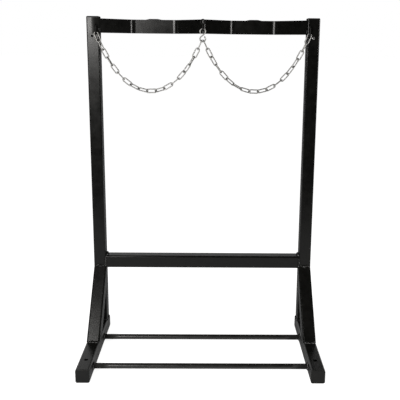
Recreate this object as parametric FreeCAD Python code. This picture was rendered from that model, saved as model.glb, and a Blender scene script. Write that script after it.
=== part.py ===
"""Floor stand for two upright gas cylinders: a welded tube frame with chains.

Millimetres. X is the width, +Y points to the back, +Z is up. The origin is on the
floor, at the middle of the stand's width and depth.
"""
import FreeCAD, Part
import math
import os

Vec = FreeCAD.Vector

# Frame
stand_width = 700.0
post_height = 1003.0
post_side = 38.0
post_wall = 2.0
post_corner = 4.0
foot_length = 385.0
foot_side = 40.0
foot_wall = 2.5
foot_corner = 5.0
foot_behind_post = 2.0
rail_side = 40.0
rail_wall = 2.5
rail_corner = 5.0
rail_bottom_height = 220.0
brace_side = 40.0
brace_wall = 2.5
brace_corner = 5.0
brace_above_rail_bottom = 7.0
brace_run = 174.0
least_inner_corner = 0.5

# Bars that the cylinders stand on, and the floor bolts' holes
bar_diameter = 16.0
bar_height = 20.0
front_bar_reach = 284.0
rear_bar_reach = 87.0
bolt_hole_diameter = 12.0
bolt_hole_reach = 287.0

# Folded top rail
strap_height = 42.0
strap_thickness = 6.0
strap_below_post_top = 2.5
strap_set_back = 4.0
recess_depth = 89.0
outer_slope_degrees = 45.0
inner_slope_degrees = 46.0
recess_fold_radius = 24.0
middle_fold_radius = 3.0
tongue_width = 50.0
tongue_top_width = 26.0
tongue_rise = 2.5

# Plastic caps
cap_head = 4.0
post_cap_edge = 3.5
foot_cap_edge = 1.6
cap_skirt_length = 14.0
cap_skirt_wall = 1.8
cap_fit = 0.15

# Chain, eyes and hook
link_wire = 3.5
link_inner_length = 27.3
link_inner_width = 8.0
link_play = 0.7
chain_stand_off = 5.5
eye_rod = 4.5
eye_corner = 6.0
eye_straight = 7.5
post_eye_straight = 14.0
left_eye_from_post_side = 9.0
right_eye_from_post_side = 6.5
post_eye_below_strap = 2.5
post_hole_below_strap = 9.5
left_hole_off_middle = 2.5
screw_diameter = 6.0
screw_hole_play = 0.5
screw_head_diameter = 9.0
screw_head_height = 2.8
screw_head_edge = 1.3
screw_length = 16.0
centre_shift = -2.0
centre_eye_above_strap_bottom = 10.1
centre_eye_straight = 6.5
ring_diameter = 17.0
ring_rod = 4.0
hook_wire = 3.8
hook_loop_diameter = 20.3
hook_loop_spacing = 21.6
hook_turn_degrees = 290.0
hook_seat_degrees = 28.0
hook_play = 0.2

# How far each link is turned about its own length, from lying flat to the front
left_chain_turns = [0, -65, 5, 95, 8, 84, 14, -58, 45, -30, 45, -25, -90, 25, -45, 70, 3, 90]
right_chain_turns = [90, 25, -42, 77, 10, -50, 68, -45, 28, -45, 25, 88, 20, -52, 48, -20, -85, 6]

# How closely the hanging curve is found: half its span over the curve's own size, and its rounds
least_sag = 0.001
greatest_sag = 20.0
sag_tolerance = 1e-12
threading_rounds = 8

# Places that follow from the sizes above
post_hole_diameter = screw_diameter + 2 * screw_hole_play
half_width = stand_width / 2
post_inner = half_width - post_side
post_middle = half_width - post_side / 2
foot_inner = half_width - foot_side
foot_middle = half_width - foot_side / 2
brace_rise = rail_bottom_height + brace_above_rail_bottom - foot_side
foot_front_reach = foot_length - post_side - foot_behind_post
strap_back_reach = strap_set_back + recess_depth + strap_thickness
post_front = (foot_front_reach + cap_head - strap_back_reach) / 2
foot_front = post_front - foot_front_reach
foot_back = foot_front + foot_length
chain_plane = post_front - chain_stand_off
strap_top_height = post_height - strap_below_post_top
strap_bottom_height = strap_top_height - strap_height
post_eye_height = strap_bottom_height - post_eye_below_strap
post_hole_height = strap_bottom_height - post_hole_below_strap
centre_eye_height = strap_bottom_height + centre_eye_above_strap_bottom


def box(size, corner):
    """A box from its three sizes and its lowest corner."""
    return Part.makeBox(size[0], size[1], size[2], Vec(*corner))


def square_rod(side, length, corner):
    """An upright square rod with rounded edges, centred on the Z axis, from Z = 0."""
    rod = box((side, side, length), (-side / 2, -side / 2, 0))
    long_edges = [edge for edge in rod.Edges if edge.BoundBox.ZLength > length / 2]
    return rod.makeFillet(corner, long_edges)


def inner_corner(corner, wall):
    """The rounding inside a tube whose outside is rounded by corner."""
    return max(corner - wall, least_inner_corner)


def square_tube(side, wall, length, corner):
    """An upright square tube, centred on the Z axis, from Z = 0."""
    bore = square_rod(side - 2 * wall, length + 2 * wall, inner_corner(corner, wall))
    bore.translate(Vec(0, 0, -wall))
    return square_rod(side, length, corner).cut(bore)


def lay_along_y(shape):
    """Turn a shape that stands along Z so that it runs along Y."""
    shape.rotate(Vec(0, 0, 0), Vec(1, 0, 0), -90)
    return shape


def lay_along_x(shape):
    """Turn a shape that stands along Z so that it runs along X."""
    shape.rotate(Vec(0, 0, 0), Vec(0, 1, 0), 90)
    return shape


def swept_rod(edges, diameter):
    """A round rod whose centre line is the given chain of edges."""
    path = Part.Wire(edges)
    start = path.Edges[0].valueAt(path.Edges[0].FirstParameter)
    along = path.Edges[0].tangentAt(path.Edges[0].FirstParameter)
    section = Part.Wire(Part.makeCircle(diameter / 2, start, along))
    return path.makePipeShell([section], True, False)


def arc(centre, radius, first, last, plane):
    """An arc about centre; plane gives the two directions that the angles run from and to."""
    points = []
    for angle in (first, (first + last) / 2, last):
        turn = math.radians(angle)
        points.append(centre + plane[0] * (radius * math.cos(turn)) + plane[1] * (radius * math.sin(turn)))
    return Part.Arc(*points).toShape()


def mirrored(shape):
    """The same shape on the other side of the stand."""
    return shape.mirror(Vec(0, 0, 0), Vec(1, 0, 0))


def make_post(hole_off_middle):
    """The left post, with a hole in its front wall, this far outward from the post's middle."""
    post = square_tube(post_side, post_wall, post_height - foot_side, post_corner)
    post.translate(Vec(-post_middle, post_front + post_side / 2, foot_side))
    hole_start = Vec(-post_middle - hole_off_middle, post_front - post_wall, post_hole_height)
    return post.cut(Part.makeCylinder(post_hole_diameter / 2, 3 * post_wall, hole_start, Vec(0, 1, 0)))


def make_foot():
    """The left foot, drilled through for its floor bolt."""
    foot = lay_along_y(square_tube(foot_side, foot_wall, foot_length, foot_corner))
    foot.translate(Vec(-foot_middle, foot_front, foot_side / 2))
    hole_start = Vec(-foot_middle, post_front - bolt_hole_reach, -foot_wall)
    hole = Part.makeCylinder(bolt_hole_diameter / 2, foot_side + 2 * foot_wall, hole_start, Vec(0, 0, 1))
    return foot.cut(hole)


def make_brace():
    """The left brace, mitred to the foot's top and to the front of the post."""
    overrun = 2 * brace_side
    slope = math.atan2(brace_rise, brace_run)
    face_length = math.hypot(brace_rise, brace_run)
    brace = square_tube(brace_side, brace_wall, face_length + 2 * overrun, brace_corner)
    brace.translate(Vec(0, brace_side / 2, -overrun))
    brace.rotate(Vec(0, 0, 0), Vec(1, 0, 0), math.degrees(slope) - 90)
    brace.translate(Vec(-half_width + brace_side / 2, post_front - brace_run, foot_side))
    room = box(
        (brace_side, brace_run + overrun, brace_rise + overrun),
        (-half_width, post_front - brace_run - overrun, foot_side),
    )
    return brace.common(room)


def make_middle_rail():
    """The level tube between the posts."""
    rail = lay_along_x(square_tube(rail_side, rail_wall, 2 * post_inner, rail_corner))
    rail.translate(Vec(-post_inner, post_front + rail_side / 2, rail_bottom_height + rail_side / 2))
    return rail


def make_bar(reach):
    """A round bar between the feet, its middle this far in front of the posts."""
    start = Vec(-foot_inner, post_front - reach, bar_height)
    return Part.makeCylinder(bar_diameter / 2, 2 * foot_inner, start, Vec(1, 0, 0))


def strap_corners():
    """The corners of the strap's front line, seen from above, from left to right."""
    outer_run = recess_depth / math.tan(math.radians(outer_slope_degrees))
    inner_run = recess_depth / math.tan(math.radians(inner_slope_degrees))
    front = post_front + strap_set_back
    back = front + recess_depth
    left = [Vec(-post_inner, front, 0), Vec(outer_run - post_inner, back, 0), Vec(-inner_run, back, 0)]
    right = [Vec(-corner.x, corner.y, 0) for corner in reversed(left)]
    return left + [Vec(0, front, 0)] + right


def unit(first, last):
    """The direction from one point to another."""
    return (last - first).normalize()


def moved_back(corners, distance):
    """A line of corners, each moved back so that every stretch lies this far behind its old place."""
    moved = []
    for index, corner in enumerate(corners):
        before = unit(corners[max(index - 1, 0)], corners[max(index, 1)])
        after = unit(corners[min(index, len(corners) - 2)], corners[min(index + 1, len(corners) - 1)])
        sides = Vec(-before.y - after.y, before.x + after.x, 0)
        moved.append(corner + sides * (2 * distance / sides.dot(sides)))
    return moved


def bent_edges(corners, radii):
    """Straight edges through the corners, with a tangent arc of the given radius at each inner one."""
    edges = []
    start = corners[0]
    for index in range(1, len(corners) - 1):
        corner = corners[index]
        before = unit(corners[index - 1], corner)
        after = unit(corner, corners[index + 1])
        half_turn = before.getAngle(after) / 2
        radius = radii[index - 1]
        cut = radius * math.tan(half_turn)
        inward = unit(before, after)
        middle = corner + inward * (radius / math.cos(half_turn) - radius)
        first, last = corner - before * cut, corner + after * cut
        edges.append(Part.LineSegment(start, first).toShape())
        edges.append(Part.Arc(first, middle, last).toShape())
        start = last
    edges.append(Part.LineSegment(start, corners[-1]).toShape())
    return edges


def make_top_rail():
    """The flat strap folded into two recesses, with a low tongue above each."""
    corners = strap_corners()
    overrun = 2 * strap_thickness
    corners[0] = corners[0] - unit(corners[0], corners[1]) * overrun
    corners[-1] = corners[-1] + unit(corners[-2], corners[-1]) * overrun
    front_radii = []
    back_radii = []
    for index in range(1, len(corners) - 1):
        turn = unit(corners[index - 1], corners[index]).cross(unit(corners[index], corners[index + 1])).z
        front_radii.append(middle_fold_radius + strap_thickness if turn > 0 else recess_fold_radius)
        back_radii.append(middle_fold_radius if turn > 0 else recess_fold_radius + strap_thickness)
    back_corners = moved_back(corners, strap_thickness)
    front_edges = bent_edges(corners, front_radii)
    back_edges = bent_edges(back_corners, back_radii)
    ends = [
        Part.LineSegment(corners[0], back_corners[0]).toShape(),
        Part.LineSegment(corners[-1], back_corners[-1]).toShape(),
    ]
    outline = Part.Wire(Part.__sortEdges__(front_edges + back_edges + ends))
    outline.translate(Vec(0, 0, strap_bottom_height))
    strap = Part.Face(outline).extrude(Vec(0, 0, strap_height))
    depth = recess_depth + 4 * overrun
    room = box(
        (2 * post_inner, depth, strap_height + 2 * overrun),
        (-post_inner, post_front + strap_set_back - overrun, strap_bottom_height - overrun),
    )
    strap = strap.common(room)
    back = post_front + strap_set_back + recess_depth
    for middle in (-post_inner / 2, post_inner / 2):
        strap = strap.fuse(make_tongue(middle, back))
    return strap.removeSplitter()


def make_tongue(middle, back):
    """The low tongue on the upper edge of one recess."""
    foot_half = tongue_width / 2
    top_half = tongue_top_width / 2
    corners = [(-foot_half, 0), (-top_half, tongue_rise), (top_half, tongue_rise), (foot_half, 0)]
    points = [Vec(middle + x, back, strap_top_height + z) for x, z in corners]
    return Part.Face(Part.makePolygon(points + points[:1])).extrude(Vec(0, strap_thickness, 0))


def make_cap(side, wall, corner, edge):
    """A push-in cap for a square tube: a head above Z = 0, rounded by edge, and a hollow skirt below."""
    head = square_rod(side, cap_head, corner)
    top_edges = [edge for edge in head.Edges if edge.BoundBox.ZMin > cap_head / 2]
    head = head.makeFillet(edge, top_edges)
    skirt_side = side - 2 * wall - 2 * cap_fit
    skirt = square_tube(skirt_side, cap_skirt_wall, cap_skirt_length, inner_corner(corner, wall))
    skirt.translate(Vec(0, 0, -cap_skirt_length))
    return head.fuse(skirt).removeSplitter()


def make_post_cap():
    """The cap on the left post."""
    cap = make_cap(post_side, post_wall, post_corner, post_cap_edge)
    cap.translate(Vec(-post_middle, post_front + post_side / 2, post_height))
    return cap


def make_foot_cap(at_front):
    """The cap in the left foot's front or rear end."""
    cap = lay_along_y(make_cap(foot_side, foot_wall, foot_corner, foot_cap_edge))
    if at_front:
        cap.rotate(Vec(0, 0, 0), Vec(0, 0, 1), 180)
    cap.translate(Vec(-foot_middle, foot_front if at_front else foot_back, foot_side / 2))
    return cap


def staple_edges(x, rear, low, straight, reach):
    """A staple's centre line in the plane X = x: out along its low leg and back along its high one."""
    plane = (Vec(0, 1, 0), Vec(0, 0, 1))
    front = rear - reach
    high = low + 2 * eye_corner + straight
    low_centre = Vec(x, front + eye_corner, low + eye_corner)
    high_centre = Vec(x, front + eye_corner, high - eye_corner)
    return [
        Part.LineSegment(Vec(x, rear, low), Vec(x, front + eye_corner, low)).toShape(),
        arc(low_centre, eye_corner, 270, 180, plane),
        Part.LineSegment(Vec(x, front, low + eye_corner), Vec(x, front, high - eye_corner)).toShape(),
        arc(high_centre, eye_corner, 180, 90, plane),
        Part.LineSegment(Vec(x, front + eye_corner, high), Vec(x, rear, high)).toShape(),
    ]


def make_post_eye(from_post_side):
    """The bent rod welded to the front of the left post, this far from the post's inner side."""
    x = -post_inner - from_post_side
    edges = staple_edges(x, post_front, post_eye_height, post_eye_straight, eye_straight + eye_corner)
    return swept_rod(edges, eye_rod)


def strap_nose():
    """Where the front of the strap's middle fold lies, behind its sharp corner."""
    radius = middle_fold_radius + strap_thickness
    slope = math.radians(inner_slope_degrees)
    return post_front + strap_set_back + radius * (1 / math.cos(slope) - 1)


def make_centre_eye():
    """The ring and the staple under it, welded to the strap's middle fold as one piece."""
    high = centre_eye_height + 2 * eye_corner + centre_eye_straight
    ring_centre = Vec(centre_shift, strap_nose() - ring_rod / 2, high + (ring_diameter - ring_rod) / 2)
    ring = Part.makeTorus((ring_diameter - ring_rod) / 2, ring_rod / 2, ring_centre, Vec(0, 1, 0))
    reach = strap_nose() - chain_plane + eye_straight - chain_stand_off + eye_corner
    edges = staple_edges(centre_shift, strap_nose(), centre_eye_height, centre_eye_straight, reach)
    return ring.fuse(swept_rod(edges, eye_rod))


def hook_centres():
    """The middles of the hook's upper and lower loops."""
    loop_radius = (hook_loop_diameter - hook_wire) / 2
    seat = (eye_rod + hook_wire) / 2 + hook_play
    upper = Vec(centre_shift, chain_plane, centre_eye_height + seat - loop_radius)
    return upper, upper - Vec(0, 0, hook_loop_spacing)


def make_hook():
    """The S-hook: two open loops joined by a straight back, hanging from the centre eye."""
    upper, lower = hook_centres()
    radius = (hook_loop_diameter - hook_wire) / 2
    plane = (Vec(1, 0, 0), Vec(0, 0, 1))
    lean = math.degrees(math.acos(2 * radius / hook_loop_spacing))
    leave = lean - 90
    upper_loop = arc(upper, radius, leave + hook_turn_degrees, leave, plane)
    lower_loop = arc(lower, radius, leave + 180, leave + 180 + hook_turn_degrees, plane)
    back = Part.LineSegment(
        upper_loop.valueAt(upper_loop.LastParameter),
        lower_loop.valueAt(lower_loop.FirstParameter),
    ).toShape()
    return swept_rod([upper_loop, back, lower_loop], hook_wire)


def make_screw():
    """The small screw in the right post's hole."""
    middle = Vec(post_middle, post_front, post_hole_height)
    head = Part.makeCylinder(screw_head_diameter / 2, screw_head_height, middle, Vec(0, -1, 0))
    outer_edges = [edge for edge in head.Edges if edge.BoundBox.YMax < post_front - screw_head_height / 2]
    head = head.makeFillet(screw_head_edge, outer_edges)
    return head.fuse(Part.makeCylinder(screw_diameter / 2, screw_length, middle, Vec(0, 1, 0)))


def hanging_points(start, end, count, step):
    """Points a step apart along the curve of a chain that hangs between two points, in X and Z."""
    across = end[0] - start[0]
    up = end[1] - start[1]
    length = count * step
    wanted = math.sqrt(length ** 2 - up ** 2) / across
    low, high = least_sag, greatest_sag
    while high - low > sag_tolerance:
        middle = (low + high) / 2
        low, high = (middle, high) if math.sinh(middle) / middle < wanted else (low, middle)
    size = across / (2 * low)
    lowest = (start[0] + end[0]) / 2 - size * math.atanh(up / length)
    base = start[1] - size * math.cosh((start[0] - lowest) / size)
    run = size * math.sinh((start[0] - lowest) / size)
    points = []
    for index in range(count + 1):
        reach = math.asinh((run + index * step) / size)
        points.append((lowest + size * reach, base + size * math.cosh(reach)))
    return points


def threaded_points(first_rod, last_rod, count):
    """The joints between links, so that the end links hang on two rods: each is X, Z and diameter."""
    step = link_inner_length - link_play
    start, end = first_rod[:2], last_rod[:2]
    for _ in range(threading_rounds):
        points = hanging_points(start, end, count, step)
        ends = []
        for rod, joint, nearby in ((first_rod, points[0], points[1]), (last_rod, points[-1], points[-2])):
            back_off = (rod[2] + link_play) / 2 / step
            forward = (nearby[0] - joint[0], nearby[1] - joint[1])
            ends.append((rod[0] - forward[0] * back_off, rod[1] - forward[1] * back_off))
        start, end = ends
    return points


def make_link():
    """One link of bent wire, lying in the XZ plane with its length along X."""
    radius = (link_inner_width + link_wire) / 2
    half = (link_inner_length - link_inner_width) / 2
    link = None
    for side in (-1, 1):
        leg = Part.makeCylinder(link_wire / 2, 2 * half, Vec(-half, 0, side * radius), Vec(1, 0, 0))
        bow = Part.makeTorus(radius, link_wire / 2, Vec(0, 0, 0), Vec(0, 0, 1), -180, 180, 180)
        bow.rotate(Vec(0, 0, 0), Vec(0, 0, 1), -90 * side)
        bow.rotate(Vec(0, 0, 0), Vec(1, 0, 0), 90)
        bow.translate(Vec(half * side, 0, 0))
        link = leg.fuse(bow) if link is None else link.fuse([leg, bow])
    return link


def chain_links(first_rod, last_rod, turns):
    """The links of one chain, each laid along its stretch and turned about its own length."""
    points = threaded_points(first_rod, last_rod, len(turns))
    links = []
    for index, turn in enumerate(turns):
        first, last = points[index], points[index + 1]
        link = make_link()
        link.rotate(Vec(0, 0, 0), Vec(1, 0, 0), turn)
        slope = math.degrees(math.atan2(last[1] - first[1], last[0] - first[0]))
        link.rotate(Vec(0, 0, 0), Vec(0, 1, 0), -slope)
        link.translate(Vec((first[0] + last[0]) / 2, chain_plane, (first[1] + last[1]) / 2))
        links.append(link)
    return links


def chain_rods(side):
    """The rods that carry the outer and the inner end of the chain on one side, -1 left or 1 right."""
    lower = hook_centres()[1]
    loop_radius = (hook_loop_diameter - hook_wire) / 2
    seat = math.radians(hook_seat_degrees)
    from_post_side = left_eye_from_post_side if side < 0 else right_eye_from_post_side
    eye = (side * (post_inner + from_post_side), post_eye_height, eye_rod)
    hook = (lower.x + side * loop_radius * math.sin(seat), lower.z - loop_radius * math.cos(seat), hook_wire)
    return eye, hook


def export(shape, name):
    """Write one sub-part."""
    shape.exportStep(os.path.join("parts", name + ".step"))


def main():
    os.makedirs("parts", exist_ok=True)
    makers = {
        "foot": make_foot(),
        "brace": make_brace(),
        "post_cap": make_post_cap(),
        "foot_front_cap": make_foot_cap(True),
        "foot_rear_cap": make_foot_cap(False),
    }
    for name, shape in makers.items():
        export(shape, "left_" + name)
        export(mirrored(shape), "right_" + name)
    export(make_post(left_hole_off_middle), "left_post")
    export(mirrored(make_post(0)), "right_post")
    export(make_post_eye(left_eye_from_post_side), "left_post_eye")
    export(mirrored(make_post_eye(right_eye_from_post_side)), "right_post_eye")
    export(make_middle_rail(), "middle_rail")
    export(make_bar(front_bar_reach), "front_bar")
    export(make_bar(rear_bar_reach), "rear_bar")
    export(make_top_rail(), "top_rail")
    export(make_centre_eye(), "centre_eye")
    export(make_hook(), "s_hook")
    export(make_screw(), "right_post_screw")
    left_eye, left_seat = chain_rods(-1)
    right_eye, right_seat = chain_rods(1)
    chains = {
        "left": chain_links(left_eye, left_seat, left_chain_turns),
        "right": chain_links(right_seat, right_eye, right_chain_turns),
    }
    for side, links in chains.items():
        for index, link in enumerate(links):
            export(link, "%s_chain_link_%02d" % (side, index + 1))


if __name__ == "__main__":
    main()
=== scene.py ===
"""Looks for the gas cylinder stand. Metres, +X to the right, +Y to the back, +Z up."""
import math

import bpy
import numpy as np
from mathutils import Matrix, Vector


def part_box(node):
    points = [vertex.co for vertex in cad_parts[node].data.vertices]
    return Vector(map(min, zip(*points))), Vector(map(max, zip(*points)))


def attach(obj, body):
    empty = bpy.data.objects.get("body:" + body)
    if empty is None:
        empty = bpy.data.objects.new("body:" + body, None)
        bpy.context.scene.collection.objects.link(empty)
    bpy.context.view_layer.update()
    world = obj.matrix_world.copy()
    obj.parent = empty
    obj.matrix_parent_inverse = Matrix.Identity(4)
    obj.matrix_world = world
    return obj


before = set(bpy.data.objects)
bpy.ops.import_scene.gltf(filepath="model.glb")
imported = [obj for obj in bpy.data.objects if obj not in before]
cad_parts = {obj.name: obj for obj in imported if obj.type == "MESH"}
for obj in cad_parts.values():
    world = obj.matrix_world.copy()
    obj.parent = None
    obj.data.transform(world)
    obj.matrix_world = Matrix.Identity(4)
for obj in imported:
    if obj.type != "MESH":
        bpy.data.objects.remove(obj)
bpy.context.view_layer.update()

MM = 0.001
UP = np.array([0.0, 0.0, 1.0])


# Node trees

# Where a Mix node for colours keeps its sockets
MIX_SHARE, MIX_FIRST, MIX_SECOND, MIX_RESULT = 0, 6, 7, 2


def add_node(tree, kind, inputs=None, **settings):
    """A node with its settings; each input is a plain value or the socket that feeds it."""
    node = tree.nodes.new(kind)
    for key, value in settings.items():
        setattr(node, key, value)
    for key, value in (inputs or {}).items():
        if isinstance(value, bpy.types.NodeSocket):
            tree.links.new(value, node.inputs[key])
        else:
            node.inputs[key].default_value = value
    return node


def arithmetic(tree, operation, *terms):
    """The result of one step of arithmetic on sockets or numbers."""
    return add_node(tree, "ShaderNodeMath", dict(enumerate(terms)), operation=operation).outputs[0]


def remapped(tree, value, span, new_span=(0.0, 1.0)):
    """A value carried from one span to another, and held inside it."""
    node = add_node(tree, "ShaderNodeMapRange", {"Value": value, "From Min": span[0], "From Max": span[1],
                                                 "To Min": new_span[0], "To Max": new_span[1]})
    return node.outputs[0]


def noise(tree, place, scale, detail, roughness=0.5):
    """The value of a noise pattern at a place."""
    node = add_node(tree, "ShaderNodeTexNoise",
                    {"Vector": place, "Scale": scale, "Detail": detail, "Roughness": roughness})
    return node.outputs["Fac"]


def blended(tree, share, first, second):
    """The first colour carried to the second by a share."""
    node = add_node(tree, "ShaderNodeMix", {MIX_SHARE: share, MIX_FIRST: first, MIX_SECOND: second},
                    data_type="RGBA")
    return node.outputs[MIX_RESULT]


def opaque(colour):
    """A colour with its alpha of 1."""
    return (*colour, 1.0)


# Shader groups

def new_group(name, inputs, outputs):
    """An empty node group with named inputs and outputs."""
    group = bpy.data.node_groups.new(name, "ShaderNodeTree")
    for label, kind, value in inputs:
        socket = group.interface.new_socket(label, in_out="INPUT", socket_type="NodeSocket" + kind)
        if value is not None:
            socket.default_value = value
    for label, kind in outputs:
        group.interface.new_socket(label, in_out="OUTPUT", socket_type="NodeSocket" + kind)
    return group, group.nodes.new("NodeGroupInput"), group.nodes.new("NodeGroupOutput")


def make_grain_group():
    """Fine and broad noise, for the skin of a coat and for how it varies from place to place."""
    group, given, result = new_group(
        "surface_grain",
        [("Place", "Vector", None), ("Fine Scale", "Float", 900.0), ("Broad Scale", "Float", 60.0),
         ("Fine Share", "Float", 0.6)],
        [("Height", "Float"), ("Patches", "Float")])
    place, fine_scale, fine_share = (given.outputs[key] for key in ("Place", "Fine Scale", "Fine Share"))
    middle_to_fine = 0.31
    fine = noise(group, place, fine_scale, detail=2.0, roughness=0.55)
    middle_scale = arithmetic(group, "MULTIPLY", fine_scale, middle_to_fine)
    middle = noise(group, place, middle_scale, detail=1.0)
    broad = noise(group, place, given.outputs["Broad Scale"], detail=4.0, roughness=0.6)
    fine_part = arithmetic(group, "MULTIPLY", fine, fine_share)
    middle_share = arithmetic(group, "SUBTRACT", 1.0, fine_share)
    height = arithmetic(group, "MULTIPLY_ADD", middle, middle_share, fine_part)
    group.links.new(height, result.inputs["Height"])
    group.links.new(broad, result.inputs["Patches"])
    return group


def make_dust_group():
    """Settled dust: strongest on faces that look up, broken into specks and soft patches."""
    group, given, result = new_group(
        "settled_dust",
        [("Place", "Vector", None), ("Amount", "Float", 0.3), ("Speck Scale", "Float", 700.0)],
        [("Dust", "Float")])
    place, patch_scale = given.outputs["Place"], 18.0
    surface = add_node(group, "ShaderNodeNewGeometry")
    normal = add_node(group, "ShaderNodeSeparateXYZ", {"Vector": surface.outputs["Normal"]})
    specks = noise(group, place, given.outputs["Speck Scale"], detail=3.0, roughness=0.7)
    patches = noise(group, place, patch_scale, detail=3.0)
    upward = remapped(group, normal.outputs["Z"], (0.2, 1.0), (0.05, 1.0))
    speck_part = remapped(group, specks, (0.45, 0.75), (0.25, 1.0))
    patch_part = remapped(group, patches, (0.35, 0.7), (0.3, 1.0))
    broken = arithmetic(group, "MULTIPLY", speck_part, patch_part)
    lying = arithmetic(group, "MULTIPLY", broken, upward)
    dust = arithmetic(group, "MULTIPLY", lying, given.outputs["Amount"])
    group.links.new(dust, result.inputs["Dust"])
    return group


GRAIN = make_grain_group()
DUST = make_dust_group()


# Materials

PATCH_SPAN = (0.3, 0.7)
COAT_PATCH_SCALE = 45.0
DUST_COLOUR = (0.22, 0.21, 0.2)

# How much dust, a slanting view and a dull place each add to a coat's roughness
DUST_ROUGHENS = 0.35
SLANT_SPAN, SLANT_ROUGHENS = (0.6, 0.9), 0.5
DULL_PLACE_ROUGHENS = 0.7

# Where the coat turns dull: inwards and upwards on the left post, and outwards along a bar
POST_DULL_X, POST_DULL_Z = (-0.336, -0.321), (0.954, 0.958)
BAR_DULL_X = (0.262, 0.282)


def new_material(name, values):
    """An empty material with its Principled shader, which takes plain values."""
    material = bpy.data.materials.new(name)
    material.use_nodes = True
    tree = material.node_tree
    tree.nodes.clear()
    shader = add_node(tree, "ShaderNodeBsdfPrincipled", values)
    add_node(tree, "ShaderNodeOutputMaterial", {"Surface": shader.outputs[0]})
    return material, tree, shader


def object_place(tree):
    """The Object coordinates of a material."""
    return add_node(tree, "ShaderNodeTexCoord").outputs["Object"]


def dress_shader(tree, shader, colour, roughness, height, bump_height):
    """Feeds the shader what varies over the surface: colour, roughness and the bump of its grain."""
    bump = add_node(tree, "ShaderNodeBump", {"Strength": 1.0, "Distance": bump_height, "Height": height})
    for key, source in (("Base Color", colour), ("Roughness", roughness), ("Normal", bump.outputs[0])):
        tree.links.new(source, shader.inputs[key])


def beside_strap_weld(tree, place):
    """1 on the left post's inner strip beside the top rail's end weld, where grinding left the coat dull."""
    parts = add_node(tree, "ShaderNodeSeparateXYZ", {"Vector": place})
    inward = remapped(tree, parts.outputs["X"], POST_DULL_X)
    upward = remapped(tree, parts.outputs["Z"], POST_DULL_Z)
    return arithmetic(tree, "MULTIPLY", inward, upward)


def beside_foot(tree, place):
    """1 on the last stretch of a bar before each foot, where the coat is dull."""
    parts = add_node(tree, "ShaderNodeSeparateXYZ", {"Vector": place})
    outward = arithmetic(tree, "ABSOLUTE", parts.outputs["X"])
    return remapped(tree, outward, BAR_DULL_X)


def make_coat(name, dark, pale, roughness, specular, fine_scale, bump_height, dust, dull_place=None):
    """A sprayed or moulded dark surface: patchy, grained, a little dusty, and dull where seen edge-on."""
    material, tree, shader = new_material(name, {"Specular IOR Level": specular})
    place = object_place(tree)
    grain = add_node(tree, "ShaderNodeGroup", {"Place": place, "Fine Scale": fine_scale,
                                               "Broad Scale": COAT_PATCH_SCALE}, node_tree=GRAIN)
    settled = add_node(tree, "ShaderNodeGroup", {"Place": place, "Amount": dust}, node_tree=DUST)
    patches, dust_share = grain.outputs["Patches"], settled.outputs["Dust"]
    clean = blended(tree, remapped(tree, patches, PATCH_SPAN), opaque(dark), opaque(pale))
    dusty = blended(tree, dust_share, clean, opaque(DUST_COLOUR))
    sheen = remapped(tree, patches, PATCH_SPAN, roughness)
    dulled = arithmetic(tree, "MULTIPLY_ADD", dust_share, DUST_ROUGHENS, sheen)
    slant = add_node(tree, "ShaderNodeLayerWeight", {"Blend": 0.5})
    edge_on = remapped(tree, slant.outputs["Facing"], SLANT_SPAN, (0.0, SLANT_ROUGHENS))
    rough = arithmetic(tree, "ADD", dulled, edge_on)
    if dull_place:
        rough = arithmetic(tree, "MULTIPLY_ADD", dull_place(tree, place), DULL_PLACE_ROUGHENS, rough)
    dress_shader(tree, shader, dusty, rough, grain.outputs["Height"], bump_height)
    return material


def make_zinc(name, dark, pale, roughness, bump_height):
    """Bright zinc plating: slightly cloudy metal with faint drawing marks, smoothest where it is pale."""
    material, tree, shader = new_material(name, {"Metallic": 1.0})
    grain = add_node(tree, "ShaderNodeGroup", {"Place": object_place(tree), "Fine Scale": 1400.0,
                                               "Broad Scale": 160.0, "Fine Share": 0.35}, node_tree=GRAIN)
    clouds = grain.outputs["Patches"]
    colour = blended(tree, remapped(tree, clouds, PATCH_SPAN), opaque(dark), opaque(pale))
    sheen = remapped(tree, clouds, PATCH_SPAN, roughness[::-1])
    dress_shader(tree, shader, colour, sheen, grain.outputs["Height"], bump_height)
    return material


BLACK = {"dark": (0.0018, 0.0018, 0.0016), "pale": (0.0036, 0.0036, 0.0032)}
POWDER = {**BLACK, "roughness": (0.21, 0.27), "specular": 0.14, "fine_scale": 1100.0,
          "bump_height": 0.04 * MM, "dust": 0.04}
POWDER_COAT = make_coat("black_powder_coat", **POWDER)
POST_COAT = make_coat("black_powder_coat_on_left_post", **POWDER, dull_place=beside_strap_weld)
BAR_COAT = make_coat("black_powder_coat_on_bars", dark=(0.004, 0.004, 0.0037), pale=(0.009, 0.009, 0.0083),
                     roughness=(0.26, 0.32), specular=0.32, fine_scale=1100.0, bump_height=0.02 * MM,
                     dust=0.03, dull_place=beside_foot)
EYE_COAT = make_coat("black_powder_coat_on_eyes", **BLACK, roughness=(0.5, 0.6), specular=0.12,
                     fine_scale=1100.0, bump_height=0.03 * MM, dust=0.02)
WELD_COAT = make_coat("black_coat_on_weld", dark=(0.003, 0.003, 0.0028), pale=(0.005, 0.005, 0.0046),
                      roughness=(0.2, 0.28), specular=0.38, fine_scale=1500.0, bump_height=0.04 * MM,
                      dust=0.04)
CAP_PLASTIC = make_coat("black_cap_plastic", dark=(0.004, 0.004, 0.004), pale=(0.007, 0.007, 0.0066),
                        roughness=(0.38, 0.48), specular=0.13, fine_scale=1800.0, bump_height=0.05 * MM,
                        dust=0.05)
CHAIN_ZINC = make_zinc("zinc_on_chain", dark=(0.23, 0.228, 0.22), pale=(0.31, 0.307, 0.298),
                       roughness=(0.44, 0.54), bump_height=0.03 * MM)
SCREW_ZINC = make_zinc("zinc_on_screw", dark=(0.5, 0.5, 0.49), pale=(0.66, 0.66, 0.65),
                       roughness=(0.2, 0.3), bump_height=0.02 * MM)


# Surfaces

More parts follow.
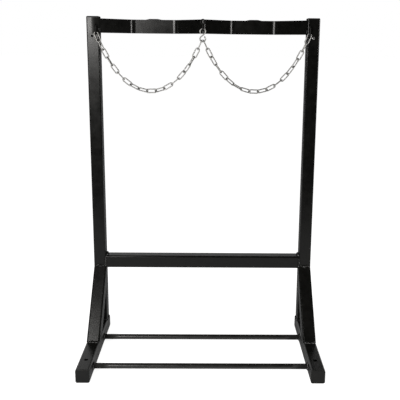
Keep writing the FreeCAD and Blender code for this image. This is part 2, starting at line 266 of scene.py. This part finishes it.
def grid_faces(rows, columns, wrap_rows):
    """Quads between neighbouring rings of a grid whose rings are closed."""
    first = np.arange(rows if wrap_rows else rows - 1)[:, None]
    second = (first + 1) % rows
    column = np.arange(columns)[None, :]
    following = (column + 1) % columns
    quads = np.stack([first * columns + column, first * columns + following,
                      second * columns + following, second * columns + column], axis=-1)
    return quads.reshape(-1, 4)


def solid_from_rings(rings, wrap_rows=False):
    """Points and faces of a closed skin: rings of points joined in order, ends gathered into poles."""
    rows, columns = rings.shape[:2]
    points = rings.reshape(-1, 3)
    faces = grid_faces(rows, columns, wrap_rows).tolist()
    if wrap_rows:
        return points, faces
    poles = np.array([rings[0].mean(axis=0), rings[-1].mean(axis=0)])
    column = np.arange(columns)
    following = (column + 1) % columns
    start, end = rows * columns, rows * columns + 1
    last = (rows - 1) * columns
    faces += np.stack([np.full(columns, start), following, column], axis=-1).tolist()
    faces += np.stack([np.full(columns, end), last + column, last + following], axis=-1).tolist()
    return np.concatenate([points, poles]), faces


def make_piece(name, skins, material, body):
    """One named piece from one or more skins, shaded smooth, riding on a body."""
    points, faces, count = [], [], 0
    for skin_points, skin_faces in skins:
        points.append(skin_points)
        faces += [[index + count for index in face] for face in skin_faces]
        count += len(skin_points)
    mesh = bpy.data.meshes.new(name)
    mesh.from_pydata(np.concatenate(points).tolist(), [], faces)
    mesh.polygons.foreach_set("use_smooth", np.ones(len(faces), bool))
    mesh.materials.append(material)
    mesh.update()
    piece = bpy.data.objects.new(name, mesh)
    bpy.context.scene.collection.objects.link(piece)
    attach(piece, body)


# A weld bead's crescents: their pitch over the bead's size, their height, their lag and their fineness
BEAD_PITCH = 0.55
BEAD_RIPPLE = 0.11
BEAD_LAG = 0.6 * np.pi
BEAD_ROWS_PER_PITCH = 6
LINE_LEAST_ROWS, LINE_COLUMNS = 12, 20
RING_LEAST_CRESCENTS, RING_COLUMNS = 8, 16

# A straight bead: how far and how often it sways to its sides, over its size, and how blunt its tips are
LINE_SWAY, LINE_SWAY_PERIOD = 0.15, 4.0
LINE_LEAST_TIP = 0.02

# How a bead's radius wavers: by a slow and a quick sine along a line, and by one sine round a ring
SLOW_WAVER, SLOW_PITCHES = 0.07, 3.1
QUICK_WAVER, QUICK_SEED = 0.04, 2.3
RING_WAVER, RING_WAVES = 0.08, 2


def full_circle(count):
    """Angles spread evenly over a full turn."""
    return np.linspace(0, 2 * np.pi, count, endpoint=False)


def crescents(phase, angle):
    """Ripple times the cosine of (phase - lag times (1 - cos angle)), so crescents lag at the sides."""
    return BEAD_RIPPLE * np.cos(phase - BEAD_LAG * (1 - np.cos(angle)))


def straight_bead(start, end, outward, size, seed, sway):
    """A weld bead: a circle carried along a line, with a radius of size times (1 + crescents + waver).

    The line sways to its sides as a sine. The waver is a slow sine along the line and a smaller,
    quicker one. Each tip is rounded as a quarter circle.
    """
    start, end, outward = (np.array(value, float) for value in (start, end, outward))
    outward = outward / np.linalg.norm(outward)
    along = end - start
    length = np.linalg.norm(along)
    along = along / length
    side = np.cross(along, outward)
    pitch = BEAD_PITCH * size
    share = np.linspace(0, 1, max(int(length / pitch * BEAD_ROWS_PER_PITCH), LINE_LEAST_ROWS))
    distance = (share * length)[:, None]
    angle = full_circle(LINE_COLUMNS)[None, :]
    from_tip = np.minimum(share, 1 - share) * length / size
    tip = np.sqrt(np.clip(1 - np.clip(1 - from_tip, 0, 1) ** 2, LINE_LEAST_TIP, 1))
    waver = (SLOW_WAVER * np.sin(2 * np.pi * distance / (SLOW_PITCHES * pitch) + seed)
             + QUICK_WAVER * np.sin(distance / pitch + QUICK_SEED * seed))
    radius = size * (1 + crescents(2 * np.pi * distance / pitch, angle) + waver) * tip[:, None]
    aside = sway * size * np.sin(2 * np.pi * distance / (LINE_SWAY_PERIOD * size) + seed)
    centre = start + along * distance + side * aside
    rings = (centre[:, None, :] + outward * (radius * np.cos(angle))[..., None]
             + side * (radius * np.sin(angle))[..., None])
    return solid_from_rings(rings)


def ring_bead(centre, axis, ring_radius, size, seed):
    """A weld bead round a rod: a circle carried round a larger circle about the rod's level axis.

    The carried circle's radius is size times (1 + crescents + a sine that waves twice to the turn).
    """
    centre, axis = np.array(centre, float), np.array(axis, float)
    across = np.cross(axis, UP)
    count = max(round(2 * np.pi * ring_radius / (BEAD_PITCH * size)), RING_LEAST_CRESCENTS)
    turn = full_circle(count * BEAD_ROWS_PER_PITCH)[:, None]
    angle = full_circle(RING_COLUMNS)[None, :]
    waver = RING_WAVER * np.sin(RING_WAVES * turn + seed)
    radius = size * (1 + crescents(count * turn, angle) + waver)
    radial = UP * np.cos(turn)[..., None] + across * np.sin(turn)[..., None]
    rings = (centre + radial * (ring_radius + radius * np.cos(angle))[..., None]
             + axis * (radius * np.sin(angle))[..., None])
    return solid_from_rings(rings[:, ::-1], wrap_rows=True)


# Welds, placed from the CAD nodes

BEAD = 4.0 * MM
EYE_BEAD = 1.1 * MM

# A bead stops this far before the corner of a tube
INSET = 4.0 * MM

# How far up the strap's two end beads reach, and how far behind its front its rear face meets the post
STRAP_FRONT_RUN, STRAP_REAR_RUN = 14.0 * MM, 38.0 * MM
STRAP_REAR_FACE = 8.5 * MM

# How far a ring bead's middle stands off the face that a rod enters
BAR_BEAD_OFF, EYE_BEAD_OFF = 0.3 * MM, 0.2 * MM

# What is added to a bead's seed on the right side, so that the two sides differ
RIGHT_SEED = 1.7


def corners(node):
    """Lowest and highest corner of a CAD node."""
    low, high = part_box(node)
    return np.array(low), np.array(high)


def make_welds():
    """Every weld of the frame as small rippled beads in the corners where pieces meet."""
    foot_inner, top = corners("left_foot")[1][[0, 2]]
    (outer, front, _), (inner, rear, _) = corners("left_post")
    brace_low, brace_high = corners("left_brace")
    rail_low, rail_high = corners("middle_rail")
    _, strap_front, strap_bottom = corners("top_rail")[0]
    strap_rear = strap_front + STRAP_REAR_FACE
    for side, sign in (("left", 1), ("right", -1)):
        def at(x, y, z):
            """A point given for the left side, on this side."""
            return (sign * x, y, z)

        def line(start, end, outward, share, seed, sway=LINE_SWAY):
            """A straight bead given for the left side, on this side; its size is a share of a full bead's."""
            if sign > 0:
                return straight_bead(start, end, outward, BEAD * share, seed, sway)
            return straight_bead(at(*end), at(*start), at(*outward), BEAD * share, seed + RIGHT_SEED, sway)

        welds = {
            "post_base_weld": [
                line((inner, front + INSET, top), (inner, rear - INSET, top), (1, 0, 1), 0.8, 0.3),
                line((outer + INSET, front, top), (inner - INSET, front, top), (0, -1, 1), 1.0, 1.1),
                line((inner - INSET, rear, top), (outer + INSET, rear, top), (0, 1, 1), 0.7, 2.1),
            ],
            "brace_foot_weld": [
                line((outer + INSET, brace_low[1], top), (foot_inner - INSET, brace_low[1], top),
                     (0, -1, 0.6), 1.3, 0.7),
            ],
            "brace_post_weld": [
                line((outer + INSET, front, brace_high[2]), (inner - INSET, front, brace_high[2]),
                     (0, -1, 1), 1.2, 1.9, sway=0.5),
            ],
            "rail_end_weld": [
                line((inner, rail_low[1], rail_low[2] + INSET), (inner, rail_low[1], rail_high[2] - INSET),
                     (1, -1, 0), 0.8, 2.9),
                line((inner, rail_low[1] + INSET, rail_high[2]), (inner, rear - INSET, rail_high[2]),
                     (1, 0, 1), 1.6, 0.9),
                line((inner, rear - INSET, rail_low[2]), (inner, rail_low[1] + INSET, rail_low[2]),
                     (1, 0, -1), 0.9, 1.4),
            ],
            "strap_end_weld": [
                line((inner, strap_front, strap_bottom + INSET),
                     (inner, strap_front, strap_bottom + STRAP_FRONT_RUN), (1, -1, 0), 0.8, 0.2),
                line((inner, strap_rear, strap_bottom + STRAP_REAR_RUN),
                     (inner, strap_rear, strap_bottom + INSET), (1, 1, 0), 0.8, 1.2),
            ],
        }
        for bar in ("front_bar", "rear_bar"):
            low, high = corners(bar)
            _, middle, height = (low + high) / 2
            welds[bar + "_weld"] = [ring_bead(at(foot_inner + BAR_BEAD_OFF, middle, height), (sign, 0, 0),
                                              (high[2] - low[2]) / 2, BEAD * 0.8, 0.5)]
        eye_low, eye_high = corners(side + "_post_eye")
        rod = eye_high[0] - eye_low[0]
        eye_middle = (eye_low[0] + eye_high[0]) / 2
        welds["eye_weld"] = [
            ring_bead((eye_middle, front - EYE_BEAD_OFF, height), (0, -1, 0), rod / 2, EYE_BEAD, 0.8)
            for height in (eye_low[2] + rod / 2, eye_high[2] - rod / 2)
        ]
        for name, skins in welds.items():
            make_piece(side + "_" + name, skins, WELD_COAT, "frame")


def dress_nodes():
    """Materials for the CAD nodes that stay in sight."""
    for name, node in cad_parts.items():
        if name.endswith("_cap"):
            material = CAP_PLASTIC
        elif "link" in name or name == "s_hook":
            material = CHAIN_ZINC
        elif name.endswith("screw"):
            material = SCREW_ZINC
        elif name == "left_post":
            material = POST_COAT
        elif name.endswith("_eye"):
            material = EYE_COAT
        elif name.endswith("_bar"):
            material = BAR_COAT
        else:
            material = POWDER_COAT
        node.data.materials.clear()
        node.data.materials.append(material)


# Studio

WHITE = (1.0, 1.0, 1.0, 1.0)
LAMP_COLOUR = (1.0, 0.985, 0.96)

# The world's strength for the rays that light the stand, and for those that see the background
WORLD_STRENGTH = (0.3, 1.0)
FLOOR_REACH = 40.0
FLOOR_GLOW = 0.87


def seen_mask(tree):
    """1 for camera, glossy and transmission rays, and 0 for the others."""
    path = add_node(tree, "ShaderNodeLightPath")
    seen = arithmetic(tree, "MAXIMUM", path.outputs["Is Camera Ray"], path.outputs["Is Glossy Ray"])
    return arithmetic(tree, "MAXIMUM", seen, path.outputs["Is Transmission Ray"])


def make_world():
    """White where it is seen, and a softer pale light everywhere else."""
    world = bpy.data.worlds.new("studio")
    bpy.context.scene.world = world
    world.use_nodes = True
    tree = world.node_tree
    tree.nodes.clear()
    strength = remapped(tree, seen_mask(tree), (0.0, 1.0), WORLD_STRENGTH)
    background = add_node(tree, "ShaderNodeBackground", {"Color": WHITE, "Strength": strength})
    add_node(tree, "ShaderNodeOutputWorld", {"Surface": background.outputs[0]})


def stage_piece(name, points, faces, material):
    """A piece of the studio, which is no part of the stand."""
    mesh = bpy.data.meshes.new(name)
    mesh.from_pydata(points, [], faces)
    mesh.materials.append(material)
    piece = bpy.data.objects.new(name, mesh)
    bpy.context.scene.collection.objects.link(piece)
    return piece


def make_floor():
    """A wide pale floor that looks white and keeps the stand's shadow."""
    material, tree, shader = new_material(
        "pale_floor", {"Base Color": (0.5, 0.5, 0.5, 1.0), "Roughness": 0.9, "Specular IOR Level": 0.0,
                       "Emission Color": WHITE})
    glow = arithmetic(tree, "MULTIPLY", seen_mask(tree), FLOOR_GLOW)
    tree.links.new(glow, shader.inputs["Emission Strength"])
    points = [(x * FLOOR_REACH, y * FLOOR_REACH, 0) for x, y in ((-1, -1), (1, -1), (1, 1), (-1, 1))]
    stage_piece("floor", points, [(0, 1, 2, 3)], material)


def make_dark_tent():
    """Dark studio cloth that only reflections see, open low down at the back and near the stand."""
    side, front, back, top = 3.2, -3.0, 3.6, 3.2
    left_opening_top, right_opening_top = 2.9, 1.0
    apron_end, apron_height = -1.3, 0.004
    points = [(x, y, z) for x, opening_top in ((-side, left_opening_top), (side, right_opening_top))
              for y, z in ((front, apron_height), (front, top), (back, top), (back, opening_top),
                           (apron_end, apron_height), (back, apron_height))]
    faces = [(0, 1, 7, 6), (1, 2, 8, 7), (2, 3, 9, 8), (0, 6, 10, 4), (0, 5, 2, 1), (6, 7, 8, 11)]
    material, _, _ = new_material(
        "dark_cloth", {"Base Color": (0.004, 0.004, 0.004, 1.0), "Roughness": 1.0, "Specular IOR Level": 0.0})
    tent = stage_piece("dark_tent", points, faces, material)
    tent.visible_camera = False
    tent.visible_diffuse = False
    tent.visible_shadow = False
    tent.visible_transmission = False


def make_softbox(name, place, target, width, height, power):
    """A rectangular lamp that faces the target."""
    lamp = bpy.data.lights.new(name, "AREA")
    lamp.shape = "RECTANGLE"
    lamp.size, lamp.size_y, lamp.energy = width, height, power
    lamp.color = LAMP_COLOUR
    holder = bpy.data.objects.new(name, lamp)
    bpy.context.scene.collection.objects.link(holder)
    holder.location = place
    holder.rotation_mode = "QUATERNION"
    holder.rotation_quaternion = (Vector(target) - Vector(place)).to_track_quat("-Z", "Y")
    holder.visible_camera = False


def make_camera():
    """The photograph's place and angle: about as high as the top rail, and tilted down."""
    place = (0.02607, -1.944, 0.93447)
    turned_right, tilted_down, rolled = 0.014, 0.2209, 0.0098
    camera = bpy.data.cameras.new("camera")
    camera.sensor_width = 36.0
    camera.lens = 60.412
    camera.shift_x, camera.shift_y = -0.05062, -0.01782
    camera.clip_end = 200.0
    holder = bpy.data.objects.new("camera", camera)
    bpy.context.scene.collection.objects.link(holder)
    turn = Matrix.Rotation(-turned_right, 4, "Z")
    tilt = Matrix.Rotation(math.pi / 2 - tilted_down, 4, "X")
    roll = Matrix.Rotation(rolled, 4, "Z")
    holder.matrix_world = Matrix.Translation(place) @ turn @ tilt @ roll
    bpy.context.scene.camera = holder


make_camera()
make_world()
make_floor()
make_dark_tent()

# Name, place, target, width, height and power of each lamp
for softbox in (("key_softbox", (-0.85, -2.32, 1.2), (-0.3, 0.1, 0.9), 0.35, 0.35, 34.0),
                ("upper_softbox", (-0.81, -1.05, 1.74), (-0.33, -0.05, 0.08), 0.3, 0.3, 8.0),
                ("left_softbox", (-1.15, -2.2, 1.05), (-0.1, 0.2, 0.95), 0.3, 0.5, 22.0),
                ("right_softbox", (2.05, -1.25, 1.05), (0.1, 0.2, 0.95), 0.3, 0.5, 32.0)):
    make_softbox(*softbox)

dress_nodes()
make_welds()

bpy.context.scene.view_settings.view_transform = "Standard"
